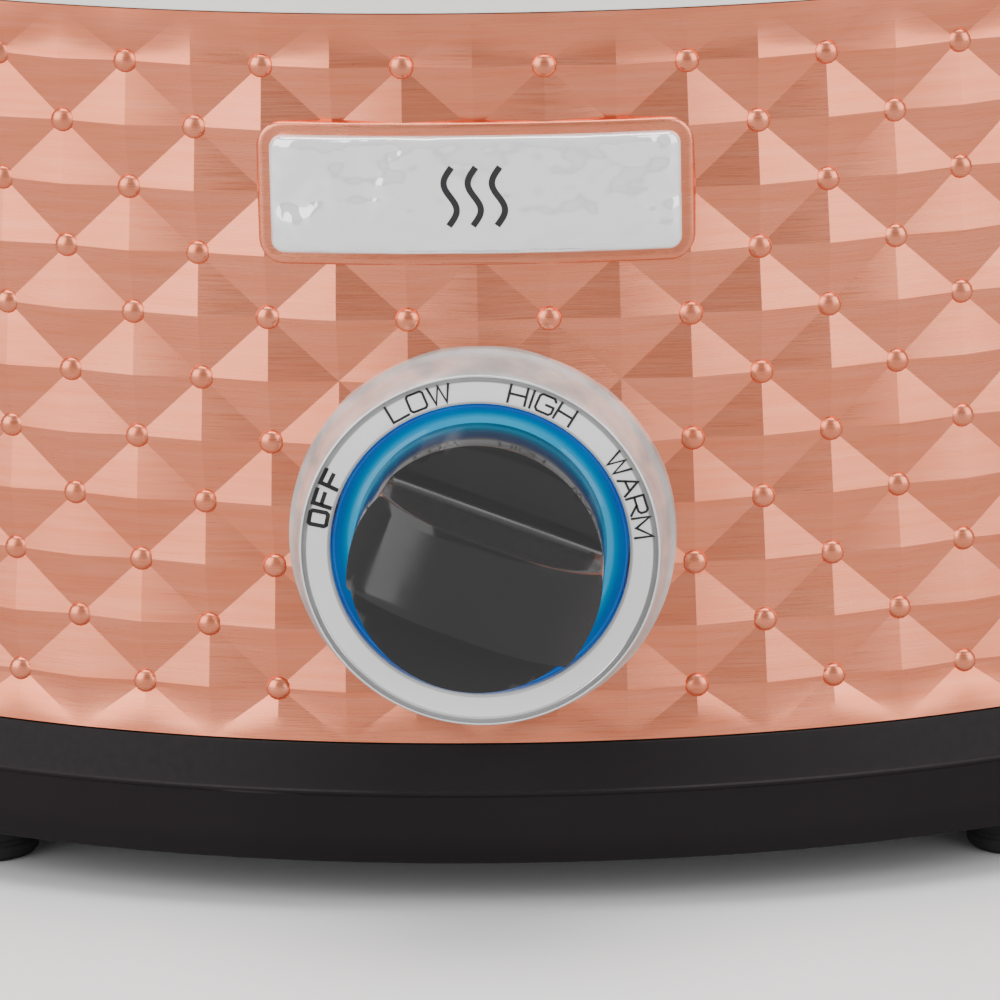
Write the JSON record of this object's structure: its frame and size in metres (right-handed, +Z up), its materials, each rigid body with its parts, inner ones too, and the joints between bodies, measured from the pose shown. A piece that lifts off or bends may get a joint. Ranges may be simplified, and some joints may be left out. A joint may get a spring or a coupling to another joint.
{
  "type": "slow cooker",
  "caption": "Oval electric slow cooker: copper-toned embossed housing with rotary heat dial, lift-out stoneware crock and glass lid.",
  "frame": {"origin": "centre of the bounding box's footprint, on the surface that the feet stand on", "axes": "+X to the right seen from the front, along the long side; +Y to the back; +Z up; the dial faces -Y"},
  "size_m": [0.41, 0.301, 0.2303],
  "materials": {
    "copper_wrap": "copper-toned sheet, fine brushed grain, embossed with pyramids and studs",
    "black_base": "satin moulded plastic",
    "aluminised_steel": "dull rolled sheet",
    "steel": "plain zinc-plated steel",
    "phenolic": "brown moulded phenolic",
    "wire_sleeve": "braided glass-fibre sleeve",
    "rubber": "matt black rubber",
    "black_gloss": "polished black phenolic",
    "chrome": "bright chrome plate",
    "blue_light": "translucent blue, lit from behind",
    "circuit_board": "green solder mask",
    "stoneware": "glossy ivory glaze",
    "lid_glass": "clear tempered glass",
    "silicone": "matt grey silicone"
  },
  "bodies": {
    "housing": {"outer_wrap": "copper_wrap", "base_skirt": "black_base", "bottom_cover": "aluminised_steel", "heating_liner": "aluminised_steel", "heat_reflector": "aluminised_steel", "heating_band": "steel", "band_spring": "steel", "tie_stud": "steel", "tie_nut": "steel", "foot_screw_front_left": "steel", "foot_screw_front_right": "steel", "foot_screw_rear_left": "steel", "foot_screw_rear_right": "steel", "handle_screw_left_front": "steel", "handle_screw_left_rear": "steel", "handle_screw_right_front": "steel", "handle_screw_right_rear": "steel", "bezel_screw_upper": "steel", "bezel_screw_lower": "steel", "switch_bracket": "steel", "switch_nut": "steel", "thermal_cutout": "phenolic", "terminal_block": "phenolic", "rotary_switch": "phenolic", "live_lead": "wire_sleeve", "heater_lead": "wire_sleeve", "neutral_lead": "wire_sleeve", "earth_lead": "wire_sleeve", "foot_front_left": "rubber", "foot_front_right": "rubber", "foot_rear_left": "rubber", "foot_rear_right": "rubber", "cord_gland": "rubber", "handle_left": "black_gloss", "handle_right": "black_gloss", "dial_bezel": "chrome", "badge_plate": "chrome", "light_ring": "blue_light", "lamp_board": "circuit_board"},
    "knob": {"control_knob": "black_gloss", "knob_spindle": "steel"},
    "crock": {"crock": "stoneware"},
    "lid": {"lid_glass": "lid_glass", "lid_rim": "chrome", "steam_vent": "chrome", "lid_knob": "black_gloss", "lid_knob_washer": "silicone", "lid_screw": "steel", "lid_screw_washer": "steel"}
  },
  "joints": [
    {"name": "knob_turn", "type": "hinge", "parent": "housing", "child": "knob", "pos_m": [0, -0.1117, 0.0694], "axis": [0, 1, 0], "range_deg": [0, 140]},
    {"name": "crock_lift", "type": "slide", "parent": "housing", "child": "crock", "axis": [0, 0, 1], "range_m": [0, 0.15]},
    {"name": "lid_lift", "type": "slide", "parent": "crock", "child": "lid", "axis": [0, 0, 1], "range_m": [0, 0.1]}
  ]
}
